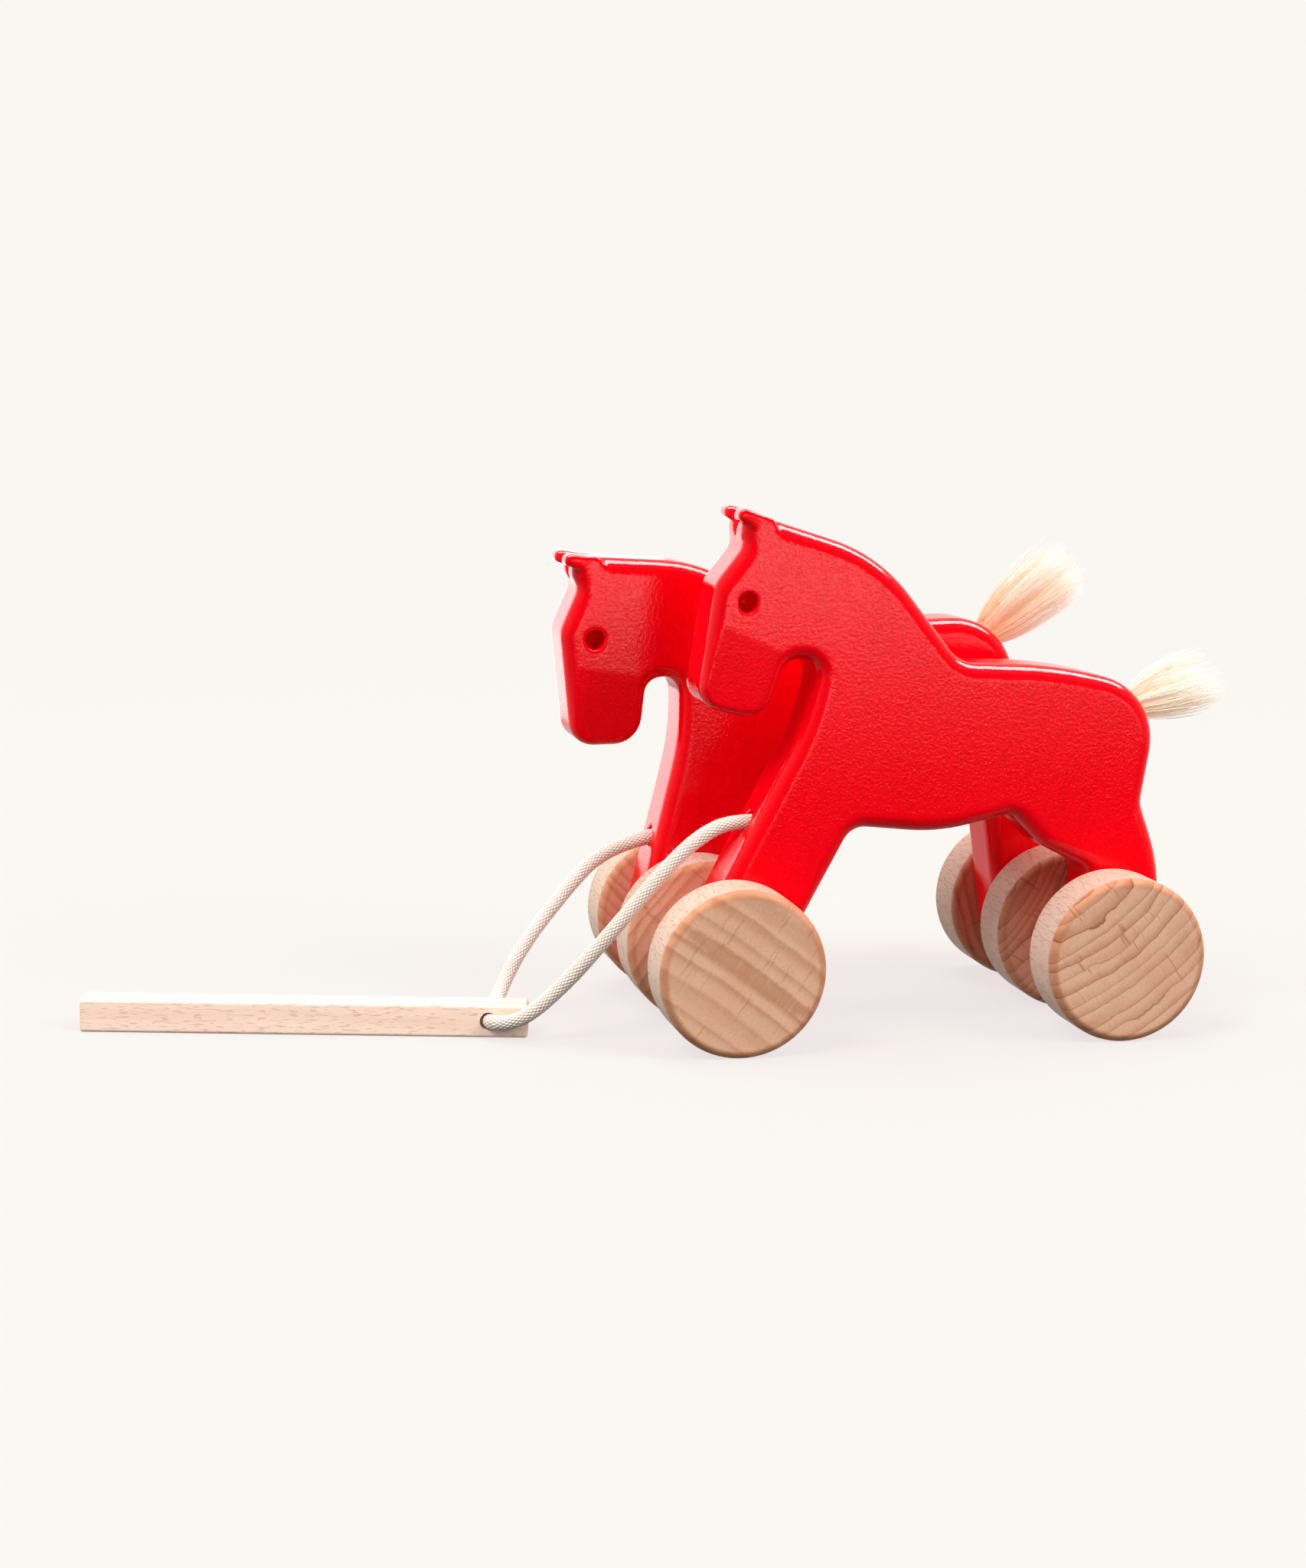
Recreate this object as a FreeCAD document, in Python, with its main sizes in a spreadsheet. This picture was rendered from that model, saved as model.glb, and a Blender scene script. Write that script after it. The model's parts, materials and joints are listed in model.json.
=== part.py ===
import FreeCAD, Part
import math
import os
import Sketcher

# Pull-along toy: two wooden horses side by side, each standing on crank dowels set off centre
# in three pairs of wheels, so that they gallop in turn when the toy is pulled by its cord.
# +X points to the tails, +Y to the far horse, +Z up; the floor is z = 0. Millimetres.

os.makedirs("parts", exist_ok=True)
doc = FreeCAD.newDocument("pull_along_toy")
Vector, Rotation, Placement = FreeCAD.Vector, FreeCAD.Rotation, FreeCAD.Placement

# ---------------------------------------------------------------------------- dimensions
DIMENSIONS = (
    ("board_thickness", 22.5, "horse board"),
    ("board_offset", 21.25, "middle of a horse board from the toy's middle plane"),
    ("board_round", 4.5, "roundover along a horse's edges"),
    ("near_pitch", 6.8, "degrees, near horse nose up"),
    ("far_pitch", 7.6, "degrees, far horse nose down"),
    ("wheel_diameter", 50.0, "every wheel"),
    ("wheel_width", 19.0, "every wheel"),
    ("wheel_round", 2.5, "wheel rim edges"),
    ("wheel_offset", 42.5, "middle of an outer wheel from the middle plane"),
    ("wheelbase", 119.0, "front axle line to rear axle line"),
    ("crank_throw", 4.5, "dowel centre from wheel centre"),
    ("crank_angle", 45.0, "degrees: near dowels up and back, far dowels opposite"),
    ("dowel_diameter", 8.0, "crank dowels"),
    ("dowel_inner_end", 1.5, "inner end of a dowel from the middle plane"),
    ("dowel_outer_end", 46.0, "outer end of a dowel from the middle plane"),
    ("running_gap", 0.09, "radial gap of a horse's foot on its dowel"),
    ("open_gap", 0.30, "radial gap at the far horse's hind foot"),
    ("eye_diameter", 6.0, "drilled eye"),
    ("eye_depth", 5.0, "straight part of the eye"),
    ("cord_diameter", 4.4, "cotton pull cord"),
    ("cord_hole_diameter", 5.2, "hole in a foreleg"),
    ("cord_hole_depth", 18.0, "hole in a foreleg"),
    ("tail_hole_diameter", 5.6, "hole in a rump"),
    ("tail_hole_depth", 12.0, "hole in a rump"),
    ("handle_length", 132.7, "pull handle"),
    ("handle_width", 10.0, "pull handle, square"),
    ("handle_round", 1.0, "pull handle edges"),
    ("handle_bore_diameter", 5.5, "cord bore through the handle"),
    ("handle_bore_inset", 11.5, "cord bore from the handle's right end"),
)
sheet = doc.addObject("Spreadsheet::Sheet", "Dimensions")
SIZE = {}
for row, (word, number, note) in enumerate(DIMENSIONS, start=1):
    sheet.set("A%d" % row, word)
    sheet.set("B%d" % row, str(number))
    sheet.set("C%d" % row, note)
    sheet.setAlias("B%d" % row, word)
    SIZE[word] = number
doc.recompute()


def bind(thing, **rules):
    """Tie properties to the spreadsheet: a word, or a formula over #words."""
    for name, rule in rules.items():
        text = rule.replace("#", "Dimensions.") if "#" in rule else "Dimensions." + rule
        thing.setExpression(name, text)


# ---------------------------------------------------------------------------- horse outline
# Corners (x, z, radius) in the horse's own frame, clockwise from the ear.
EAR_TIP = (-80.4, 125.2)
NAPE_STEP = (-69.5, 123.5)
FOREHEAD = (-76.2, 114.7)
UPPER_CORNERS = (
    (EAR_TIP[0], EAR_TIP[1], 4.7),
    (-34.7, 117.0, 50.0),    # crest of the neck
    (-5.3, 88.3, 12.0),      # withers
    (27.0, 90.9, 130.0),     # back
    (60.4, 86.9, 20.5),      # rump
    (59.3, 52.3, 8.0),       # buttock
    (68.1, 35.3, 60.0),      # back of the thigh
)
LOWER_CORNERS = (
    (45.9, 30.3, 4.8),       # groin
    (29.5, 36.0, 15.0),      # flank
    (18.4, 44.8, 4.8),       # top of the flank
    (-4.2, 36.8, 60.0),      # belly
    (-31.5, 36.2, 7.0),      # armpit
    (-51.6, -16.2, 10.0),    # fore foot, rear
    (-80.4, -16.5, 13.0),    # fore foot, front
    (-50.1, 65.0, 80.0),     # chest
    (-48.1, 84.4, 5.1),      # throat slot
    (-58.6, 83.6, 5.1),
    (-63.1, 64.5, 9.0),      # jaw
    (-84.0, 66.9, 7.5),      # muzzle
    (-83.4, 102.5, 8.0),     # brow
    (FOREHEAD[0], FOREHEAD[1], 5.0),
)
HIND_FOOT_RADIUS = 12.6

# Each horse: board side, hind foot corners (the far horse's hind legs are longer), where the
# horse's own frame stands, which way it pitches, and the gap at its hind pivot.
HORSES = {
    "near": dict(side=-1, hind=((76.1, -7.9), (46.2, -7.9)), stand=(5.5, 24.3), nose_up=1,
                 hind_gap="running_gap", tail_lift=18.0, tail_length=31.95, tail_spread=8.0),
    "far": dict(side=1, hind=((75.8, -25.2), (47.0, -25.2)), stand=(-5.9, 27.7), nose_up=-1,
                hind_gap="open_gap", tail_lift=39.0, tail_length=31.0, tail_spread=8.5),
}
EYE = (-73.5, 98.6)
CORD_HOLE = (-61.2, 33.8)
TAIL_HOLE = (55.3, 81.8)
TAIL_HOLE_LIFT = 40.0                       # degrees above +X
TAIL_STEM_OUT = 2.5                         # the rope end stands this far out of the rump
MUZZLE_CREASE = ((-78.4, 90.7), (-57.5, 84.4))
MUZZLE_TAPER = 3.5                          # degrees
MUZZLE_CUT = dict(lead=12.0, width=8.0, height=29.0)
EAR_SQUARE_FROM = 0.75                      # share of the line from forehead to ear tip
EAR_TIP_ROUND = 1.6
EAR_SQUARE_INNER = ((-66.3, 118.3), (-73.2, 119.3))
EAR_GROOVE = ((-78.2, 115.6), (-69.5, 123.0))
EAR_GROOVE_HALF_ANGLE = 37.0                # degrees
EAR_GROOVE_CUT = dict(lead=14.0, length=44.0, height=16.0)
EYE_POINT_SLOPE = 0.6                       # height of the pointed bottom over its radius
TOOL_LEAD = 2.0                             # a bore's tool stands this far out of the wood
DRILL_LEAD = 5.0                            # the same for a drill into a slanting edge


def rounded_outline(corners):
    """Closed outline of lines and tangent arcs through (x, y, radius) corners."""
    points = [Vector(x, y, 0) for x, y, _ in corners]
    pieces, joints = [], []
    for i, corner in enumerate(points):
        back = (points[i - 1] - corner).normalize()
        on = (points[(i + 1) % len(points)] - corner).normalize()
        radius = corners[i][2]
        if radius == 0:
            joints.append((corner, None, corner))
            continue
        half = back.getAngle(on) / 2
        reach = radius / math.tan(half)
        middle = corner + (back + on).normalize() * (radius / math.sin(half) - radius)
        joints.append((corner + back * reach, middle, corner + on * reach))
    for i, (start, middle, end) in enumerate(joints):
        if middle:
            pieces.append(Part.Arc(start, middle, end))
        following = joints[(i + 1) % len(joints)][0]
        if (following - end).Length > 1e-6:
            pieces.append(Part.LineSegment(end, following))
    return pieces


def plane_of(body, role):
    return [part for part in body.Origin.OriginFeatures if part.Role == role][0]


def sketch_on(body, role, name, pieces):
    """Sketch on one of the body's own planes, every piece held in place."""
    sketch = body.newObject("Sketcher::SketchObject", name)
    sketch.AttachmentSupport = [(plane_of(body, role), "")]
    sketch.MapMode = "FlatFace"
    sketch.addGeometry(pieces, False)
    for index in range(len(pieces)):
        sketch.addConstraint(Sketcher.Constraint("Block", index))
    return sketch


def pad(body, name, sketch, word):
    feature = body.newObject("PartDesign::Pad", name)
    feature.Profile = sketch
    feature.SideType = "Symmetric"
    bind(feature, Length=word)
    doc.recompute()
    return feature


def drill(name, mouth, outward, diameter_word, depth_word):
    """Blind drill: a cylinder that starts DRILL_LEAD outside the mouth."""
    tool = doc.addObject("Part::Cylinder", name)
    bind(tool, Radius="#%s / 2" % diameter_word, Height="#%s + %g" % (depth_word, DRILL_LEAD))
    tool.Placement = Placement(mouth + outward * DRILL_LEAD,
                               Rotation(Vector(0, 0, 1), -outward))
    return tool


def lifted(degrees):
    """Unit vector in the horse's plane, raised this much above +X."""
    turn = math.radians(degrees)
    return Vector(math.cos(turn), 0, math.sin(turn))


def make_node(node, thing):
    thing.Label = node
    NODES.append((node, thing))
    return thing


NODES = []
axle_height = SIZE["wheel_diameter"] / 2
throw = SIZE["crank_throw"] * math.cos(math.radians(SIZE["crank_angle"]))
AXLES = {"front": -SIZE["wheelbase"] / 2, "rear": SIZE["wheelbase"] / 2}


def dowel_centre(axle, horse):
    """Crank dowel: near dowels sit up and back from the wheel centre, far dowels opposite."""
    way = -HORSES[horse]["side"]
    return Vector(AXLES[axle] + way * throw, 0, axle_height + way * throw)


# ---------------------------------------------------------------------------- horses
def horse_place(horse):
    own = HORSES[horse]
    return Placement(Vector(own["stand"][0], own["side"] * SIZE["board_offset"], own["stand"][1]),
                     Rotation(Vector(0, 1, 0), own["nose_up"] * SIZE[horse + "_pitch"]))


def make_horse(horse):
    own = HORSES[horse]
    place = horse_place(horse)
    body = doc.addObject("PartDesign::Body", horse + "_board")
    hind = tuple((x, z, HIND_FOOT_RADIUS) for x, z in own["hind"])
    outline = sketch_on(body, "XZ_Plane", horse + "_outline",
                        rounded_outline(UPPER_CORNERS + hind + LOWER_CORNERS))
    board = pad(body, horse + "_thickness", outline, "board_thickness")

    # Roundover along both faces.
    rims = ["Edge%d" % (i + 1) for i, edge in enumerate(board.Shape.Edges)
            if edge.BoundBox.YLength < 1e-6]
    soft = body.newObject("PartDesign::Fillet", horse + "_roundover")
    soft.Base = (board, rims)
    bind(soft, Radius="board_round")
    doc.recompute()

    # The top of the ear stays square edged, from its tip to the nape.
    brow, tip = Vector(*FOREHEAD, 0), Vector(*EAR_TIP, 0)
    low_front = brow + (tip - brow) * EAR_SQUARE_FROM
    ear_shape = ((low_front.x, low_front.y, 0), (*EAR_TIP, EAR_TIP_ROUND), (*NAPE_STEP, 0),
                 *((x, z, 0) for x, z in EAR_SQUARE_INNER))
    ear_sketch = sketch_on(body, "XZ_Plane", horse + "_ear_outline", rounded_outline(ear_shape))
    pad(body, horse + "_ear", ear_sketch, "board_thickness")
    body.Tip = body.Group[-1]

    tools = []
    # Groove that splits the ear in two.
    start, end = (Vector(x, 0, z) for x, z in EAR_GROOVE)
    along = (end - start).normalize()
    down = Vector(along.z, 0, -along.x)
    cut = EAR_GROOVE_CUT
    wide = cut["height"] * math.tan(math.radians(EAR_GROOVE_HALF_ANGLE))
    groove = doc.addObject("Part::Wedge", horse + "_ear_groove")
    groove.Xmin, groove.Xmax, groove.X2min, groove.X2max = -wide, wide, 0, 0
    groove.Ymin, groove.Ymax = 0, cut["height"]
    groove.Zmin, groove.Zmax, groove.Z2min, groove.Z2max = 0, cut["length"], 0, cut["length"]
    groove.Placement = Placement(start - along * cut["lead"] - down * cut["height"],
                                 Rotation(Vector(0, -1, 0), down, along, "ZYX"))
    tools.append(groove)

    # Muzzle: each face tapers inwards below a crease.
    start, end = (Vector(x, 0, z) for x, z in MUZZLE_CREASE)
    along = (end - start).normalize()
    up = Vector(-along.z, 0, along.x)
    tilt = math.radians(MUZZLE_TAPER)
    outward = Vector(0, math.cos(tilt), 0) - up * math.sin(tilt)
    upward = along.cross(outward)
    cut = MUZZLE_CUT
    taper = doc.addObject("Part::Box", horse + "_muzzle_taper")
    taper.Length = (end - start).Length + cut["lead"]
    taper.Width, taper.Height = cut["width"], cut["height"]
    corner = (start - along * cut["lead"] + Vector(0, SIZE["board_thickness"] / 2, 0)
              - upward * cut["height"])
    taper.Placement = Placement(corner, Rotation(along, outward, upward, "XYZ"))
    tools.append(taper)

    # Eye: a drilled hole with a pointed bottom.
    eye = Vector(EYE[0], SIZE["board_thickness"] / 2, EYE[1])
    tools.append(drill(horse + "_eye_drill", eye, Vector(0, 1, 0), "eye_diameter", "eye_depth"))
    point = doc.addObject("Part::Cone", horse + "_eye_point")
    bind(point, Radius1="#eye_diameter / 2", Height="#eye_diameter / 2 * %g" % EYE_POINT_SLOPE)
    point.Radius2 = 0
    point.Placement = Placement(eye - Vector(0, SIZE["eye_depth"] - 0.01, 0),
                                Rotation(Vector(0, 0, 1), Vector(0, -1, 0)))
    tools.append(point)
    for tool in tools[1:]:
        other = doc.addObject("Part::Mirroring", tool.Name + "_other_face")
        other.Source = tool
        other.Base, other.Normal = Vector(0, 0, 0), Vector(0, 1, 0)
        tools.append(other)

    # Cord hole in the foreleg and tail hole in the rump.
    tools.append(drill(horse + "_cord_hole", Vector(CORD_HOLE[0], 0, CORD_HOLE[1]),
                       Vector(-1, 0, 0), "cord_hole_diameter", "cord_hole_depth"))
    tools.append(drill(horse + "_tail_hole", Vector(TAIL_HOLE[0], 0, TAIL_HOLE[1]),
                       lifted(TAIL_HOLE_LIFT), "tail_hole_diameter", "tail_hole_depth"))

    # Pivot bores in the feet, in line with the crank dowels.
    for axle, gap in (("front", "running_gap"), ("rear", own["hind_gap"])):
        centre = place.inverse().multVec(dowel_centre(axle, horse))
        bore = doc.addObject("Part::Cylinder", "%s_%s_pivot" % (horse, axle))
        bind(bore, Radius="#dowel_diameter / 2 + #" + gap,
             Height="#board_thickness + %g" % (2 * TOOL_LEAD))
        start = SIZE["board_thickness"] / 2 + TOOL_LEAD
        bore.Placement = Placement(Vector(centre.x, start, centre.z),
                                   Rotation(Vector(1, 0, 0), 90))
        tools.append(bore)

    gathered = doc.addObject("Part::MultiFuse", horse + "_cuts")
    gathered.Shapes = tools
    finished = doc.addObject("Part::Cut", horse + "_horse_body")
    finished.Base, finished.Tool = body, gathered
    finished.Placement = place
    return make_node(horse + "_horse_body", finished)


# ---------------------------------------------------------------------------- tails
def make_tail(horse):
    """Rope end glued into the rump, its strands combed out into a tuft."""
    own = HORSES[horse]
    place = horse_place(horse)
    mouth = Vector(TAIL_HOLE[0], 0, TAIL_HOLE[1])
    outward = lifted(TAIL_HOLE_LIFT)
    stem = doc.addObject("Part::Cylinder", horse + "_tail_stem")
    bind(stem, Radius="#tail_hole_diameter / 2",
         Height="#tail_hole_depth + %g" % TAIL_STEM_OUT)
    stem.Placement = Placement(mouth - outward * SIZE["tail_hole_depth"],
                               Rotation(Vector(0, 0, 1), outward))

    # Half outline (radius, height, rounding) of the tuft: neck, swell, blunt tip.
    neck = SIZE["tail_hole_diameter"] / 2 - 0.1
    spread, length = own["tail_spread"], own["tail_length"]
    half_outline = ((0, 1.0, 0), (neck, 1.0, 0), (neck + 0.6, 4.0, 6.0),
                    (spread, length * 0.8, 6.0), (spread * 0.6, length, 4.0), (0, length, 0))
    body = doc.addObject("PartDesign::Body", horse + "_tail_tuft")
    profile = rounded_outline(half_outline)
    sketch = sketch_on(body, "XZ_Plane", horse + "_tuft_profile", profile)
    tuft = body.newObject("PartDesign::Revolution", horse + "_tuft_turn")
    tuft.Profile = sketch
    tuft.ReferenceAxis = (sketch, ["V_Axis"])
    tuft.Angle = 360
    lift = own["tail_lift"] + own["nose_up"] * SIZE[horse + "_pitch"]
    body.Placement = Placement(mouth + outward * 0.6, Rotation(Vector(0, 0, 1), lifted(lift)))
    tail = doc.addObject("Part::MultiFuse", horse + "_tail")
    tail.Shapes = [stem, body]
    tail.Placement = place
    return make_node(horse + "_tail", tail)


# ---------------------------------------------------------------------------- wheels, dowels
def make_dowel(axle, horse):
    side = HORSES[horse]["side"]
    dowel = doc.addObject("Part::Cylinder", "%s_%s_dowel" % (axle, horse))
    bind(dowel, Radius="#dowel_diameter / 2", Height="#dowel_outer_end - #dowel_inner_end")
    start = SIZE["dowel_inner_end"] if side > 0 else -SIZE["dowel_outer_end"]
    centre = dowel_centre(axle, horse)
    dowel.Placement = Placement(Vector(centre.x, start, centre.z), Rotation(Vector(1, 0, 0), -90))
    return make_node("%s_%s_dowel" % (axle, horse), dowel)


def make_wheel(axle, position):
    """Turned disc with a blind socket for each dowel that ends in it."""
    across = {"near": -1, "middle": 0, "far": 1}[position] * SIZE["wheel_offset"]
    name = "%s_%s_wheel" % (axle, position)
    half = SIZE["wheel_width"] / 2
    disc = doc.addObject("Part::Cylinder", name + "_disc")
    bind(disc, Radius="#wheel_diameter / 2", Height="wheel_width")
    disc.Placement = Placement(Vector(0, -half, 0), Rotation(Vector(1, 0, 0), -90))
    doc.recompute()
    rims = [i + 1 for i, edge in enumerate(disc.Shape.Edges) if edge.BoundBox.YLength < 1e-6]
    turned = doc.addObject("Part::Fillet", name + "_turned")
    turned.Base = disc
    turned.Edges = [(rim, SIZE["wheel_round"], SIZE["wheel_round"]) for rim in rims]
    sockets = []
    for horse in ("near", "far"):
        if position not in ("middle", horse):
            continue
        side = HORSES[horse]["side"]
        centre = dowel_centre(axle, horse)
        ends = sorted((side * SIZE["dowel_inner_end"], side * SIZE["dowel_outer_end"]))
        socket = doc.addObject("Part::Cylinder", "%s_%s_socket" % (name, horse))
        bind(socket, Radius="#dowel_diameter / 2", Height="#dowel_outer_end - #dowel_inner_end")
        socket.Placement = Placement(Vector(centre.x - AXLES[axle], ends[0] - across,
                                            centre.z - axle_height),
                                     Rotation(Vector(1, 0, 0), -90))
        sockets.append(socket)
    tool = sockets[0]
    if len(sockets) > 1:
        tool = doc.addObject("Part::MultiFuse", name + "_sockets")
        tool.Shapes = sockets
    wheel = doc.addObject("Part::Cut", name)
    wheel.Base, wheel.Tool = turned, tool
    wheel.Placement = Placement(Vector(AXLES[axle], across, axle_height), Rotation())
    return make_node(name, wheel)


# ---------------------------------------------------------------------------- pull handle
HANDLE_CORNER = Vector(-246.4, 10.2, 0)
HANDLE_YAW = -12.32
handle_turn = Rotation(Vector(0, 0, 1), HANDLE_YAW)


def make_handle():
    """Square bar lying on the floor, with the cord bore near its right end."""
    bar = doc.addObject("Part::Box", "handle_bar")
    bind(bar, Length="handle_length", Width="handle_width", Height="handle_width")
    doc.recompute()
    soft = doc.addObject("Part::Fillet", "handle_soft_edges")
    soft.Base = bar
    soft.Edges = [(i + 1, SIZE["handle_round"], SIZE["handle_round"]) for i in range(12)]
    bore = doc.addObject("Part::Cylinder", "handle_cord_bore")
    bind(bore, Radius="#handle_bore_diameter / 2",
         Height="#handle_width + %g" % (2 * TOOL_LEAD))
    bore.Placement = Placement(Vector(SIZE["handle_length"] - SIZE["handle_bore_inset"],
                                      -TOOL_LEAD, SIZE["handle_width"] / 2),
                               Rotation(Vector(1, 0, 0), -90))
    handle = doc.addObject("Part::Cut", "pull_handle")
    handle.Base, handle.Tool = soft, bore
    handle.Placement = Placement(HANDLE_CORNER, handle_turn)
    return make_node("pull_handle", handle)


# ---------------------------------------------------------------------------- cords
CORD_IN_LEG = 9.0                           # each strand is glued this deep in a foreleg
ARC_SHARE = 0.45                            # of the shorter run beside an arc


def rounded_route(points):
    """Straight runs joined by tangent arcs, each as large as the shorter run allows."""
    runs = [(b - a).Length for a, b in zip(points, points[1:])]
    pieces, radii, at = [], [], points[0]
    for i in range(1, len(points) - 1):
        back = (points[i - 1] - points[i]).normalize()
        on = (points[i + 1] - points[i]).normalize()
        half_turn = (math.pi - back.getAngle(on)) / 2
        reach = ARC_SHARE * min(runs[i - 1], runs[i])
        radius = reach / math.tan(half_turn)
        radii.append(round(radius, 1))
        start, end = points[i] + back * reach, points[i] + on * reach
        middle = points[i] + (back + on).normalize() * (radius / math.cos(half_turn) - radius)
        pieces += [Part.LineSegment(at, start).toShape(), Part.Arc(start, middle, end).toShape()]
        at = end
    pieces.append(Part.LineSegment(at, points[-1]).toShape())
    return Part.Wire(pieces), runs, radii


def make_cord(horse, points):
    wire, runs, radii = rounded_route(points)
    name = horse + "_pull_cord"
    route = doc.addObject("Part::Feature", name + "_route")
    route.Shape = wire
    section = doc.addObject("Part::Circle", name + "_section")
    bind(section, Radius="#cord_diameter / 2")
    section.Placement = Placement(points[0], Rotation(Vector(0, 0, 1), points[1] - points[0]))
    tube = doc.addObject("Part::Sweep", name)
    tube.Sections = [section]
    tube.Spine = (route, ["Edge%d" % (i + 1) for i in range(len(wire.Edges))])
    tube.Solid = True
    tube.Transition = "Right corner"
    doc.recompute()
    area = math.pi * SIZE["cord_diameter"] ** 2 / 4
    print("%s: length %.1f, runs %s, radii %s, volume / (section x length) %.4f" % (
        name, wire.Length, [round(run, 1) for run in runs], radii,
        tube.Shape.Volume / (area * wire.Length)))
    return make_node(name, tube)


def cord_start(horse):
    """Cord hole mouth and outward direction on the standing horse."""
    place = horse_place(horse)
    return (place.multVec(Vector(CORD_HOLE[0], 0, CORD_HOLE[1])),
            place.Rotation.multVec(Vector(-1, 0, 0)))


handle_along = handle_turn.multVec(Vector(1, 0, 0))
handle_back = handle_turn.multVec(Vector(0, 1, 0))
bore_front = (HANDLE_CORNER + handle_along * (SIZE["handle_length"] - SIZE["handle_bore_inset"])
              + Vector(0, 0, SIZE["handle_width"] / 2))
bore_rear = bore_front + handle_back * SIZE["handle_width"]

mouth, outward = cord_start("near")
NEAR_ROUTE = [mouth - outward * CORD_IN_LEG, mouth + outward * 3.5,
              Vector(-66.5, -21.6, 60.6), Vector(-78.5, -22.1, 48.9), Vector(-91.5, -22.5, 33.8),
              Vector(-105.5, -22.6, 18.3), Vector(-116.0, -22.4, 8.9), Vector(-122.9, -21.3, 5.6),
              bore_front - handle_back * 1.5, bore_front + handle_back * 4.7]
mouth, outward = cord_start("far")
FAR_ROUTE = [mouth - outward * CORD_IN_LEG, Vector(-84.3, 20.9, 51.3), Vector(-101.9, 13.6, 35.4),
             Vector(-114.6, 9.0, 20.2), Vector(-119.4, 7.2, 11.2), Vector(-123.2, 2.2, 5.8),
             bore_rear + handle_back * 0.9]

# ---------------------------------------------------------------------------- build
for horse in ("near", "far"):
    make_horse(horse)
    make_tail(horse)
for axle in ("front", "rear"):
    for position in ("near", "middle", "far"):
        make_wheel(axle, position)
    for horse in ("near", "far"):
        make_dowel(axle, horse)
make_handle()
make_cord("near", NEAR_ROUTE)
make_cord("far", FAR_ROUTE)
doc.recompute()

# ---------------------------------------------------------------------------- check, write
for thing in doc.Objects:
    if any(word in thing.State for word in ("Invalid", "Error")):
        raise RuntimeError("%s did not compute: %s" % (thing.Label, thing.State))
for node, thing in NODES:
    shape = thing.Shape
    if shape.isNull() or not shape.isValid() or len(shape.Solids) != 1:
        raise RuntimeError("%s has no single valid solid" % node)
    shape.exportStep("parts/%s.step" % node)
    box = shape.BoundBox
    print("%-18s %9.1f mm3  x %7.2f %7.2f  y %7.2f %7.2f  z %7.2f %7.2f" % (
        node, shape.Volume, box.XMin, box.XMax, box.YMin, box.YMax, box.ZMin, box.ZMax))
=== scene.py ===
import json
import math

import bpy
import numpy as np
from mathutils import Matrix, Vector

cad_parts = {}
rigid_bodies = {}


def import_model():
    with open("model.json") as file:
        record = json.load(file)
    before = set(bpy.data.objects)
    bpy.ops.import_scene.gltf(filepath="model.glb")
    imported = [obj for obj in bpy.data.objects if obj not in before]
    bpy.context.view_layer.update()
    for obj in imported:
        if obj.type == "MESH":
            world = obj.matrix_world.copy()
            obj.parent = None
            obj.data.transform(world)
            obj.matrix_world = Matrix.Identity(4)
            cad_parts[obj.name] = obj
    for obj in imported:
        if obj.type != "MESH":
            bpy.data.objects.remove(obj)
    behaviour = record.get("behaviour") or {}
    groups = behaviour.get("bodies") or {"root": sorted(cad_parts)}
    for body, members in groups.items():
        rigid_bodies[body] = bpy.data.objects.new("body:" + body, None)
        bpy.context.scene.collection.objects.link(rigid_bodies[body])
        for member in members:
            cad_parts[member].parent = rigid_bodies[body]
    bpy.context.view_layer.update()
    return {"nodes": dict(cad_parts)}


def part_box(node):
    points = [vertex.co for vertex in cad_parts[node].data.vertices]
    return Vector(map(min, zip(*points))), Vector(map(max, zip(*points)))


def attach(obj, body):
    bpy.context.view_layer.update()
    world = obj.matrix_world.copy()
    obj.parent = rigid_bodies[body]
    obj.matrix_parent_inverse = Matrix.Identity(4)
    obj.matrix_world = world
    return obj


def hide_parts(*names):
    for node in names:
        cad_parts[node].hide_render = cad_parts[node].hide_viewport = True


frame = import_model()
MM = 0.001

# ------------------------------------------------------------------ camera
CAMERA_PLACE = Vector((-0.25497, -0.75108, 0.20048))
CAMERA_AZIMUTH, CAMERA_ELEVATION, CAMERA_ROLL = (math.radians(x) for x in (-13.44, 9.38, 1.08))
CAMERA_LENS, SENSOR_WIDTH = 59.27, 36.0     # mm


def make_camera():
    data = bpy.data.cameras.new("camera")
    data.lens, data.sensor_width = CAMERA_LENS, SENSOR_WIDTH
    data.clip_start, data.clip_end = 0.01, 60.0
    back = Vector((math.sin(CAMERA_AZIMUTH) * math.cos(CAMERA_ELEVATION),
                   -math.cos(CAMERA_AZIMUTH) * math.cos(CAMERA_ELEVATION),
                   math.sin(CAMERA_ELEVATION)))
    level = Vector((math.cos(CAMERA_AZIMUTH), math.sin(CAMERA_AZIMUTH), 0))
    upright = back.cross(level)
    right = level * math.cos(CAMERA_ROLL) + upright * math.sin(CAMERA_ROLL)
    up = upright * math.cos(CAMERA_ROLL) - level * math.sin(CAMERA_ROLL)
    place = Matrix((right, up, back)).transposed().to_4x4()
    place.translation = CAMERA_PLACE
    camera = bpy.data.objects.new("camera", data)
    camera.matrix_world = place
    bpy.context.scene.collection.objects.link(camera)
    bpy.context.scene.camera = camera


make_camera()


# ------------------------------------------------------------------ mesh tools
def new_piece(name, points, faces):
    """Smooth mesh object, linked to the scene."""
    mesh = bpy.data.meshes.new(name)
    mesh.from_pydata(np.asarray(points).tolist(), [], faces)
    mesh.update()
    mesh.polygons.foreach_set("use_smooth", [True] * len(mesh.polygons))
    piece = bpy.data.objects.new(name, mesh)
    bpy.context.scene.collection.objects.link(piece)
    return piece


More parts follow.
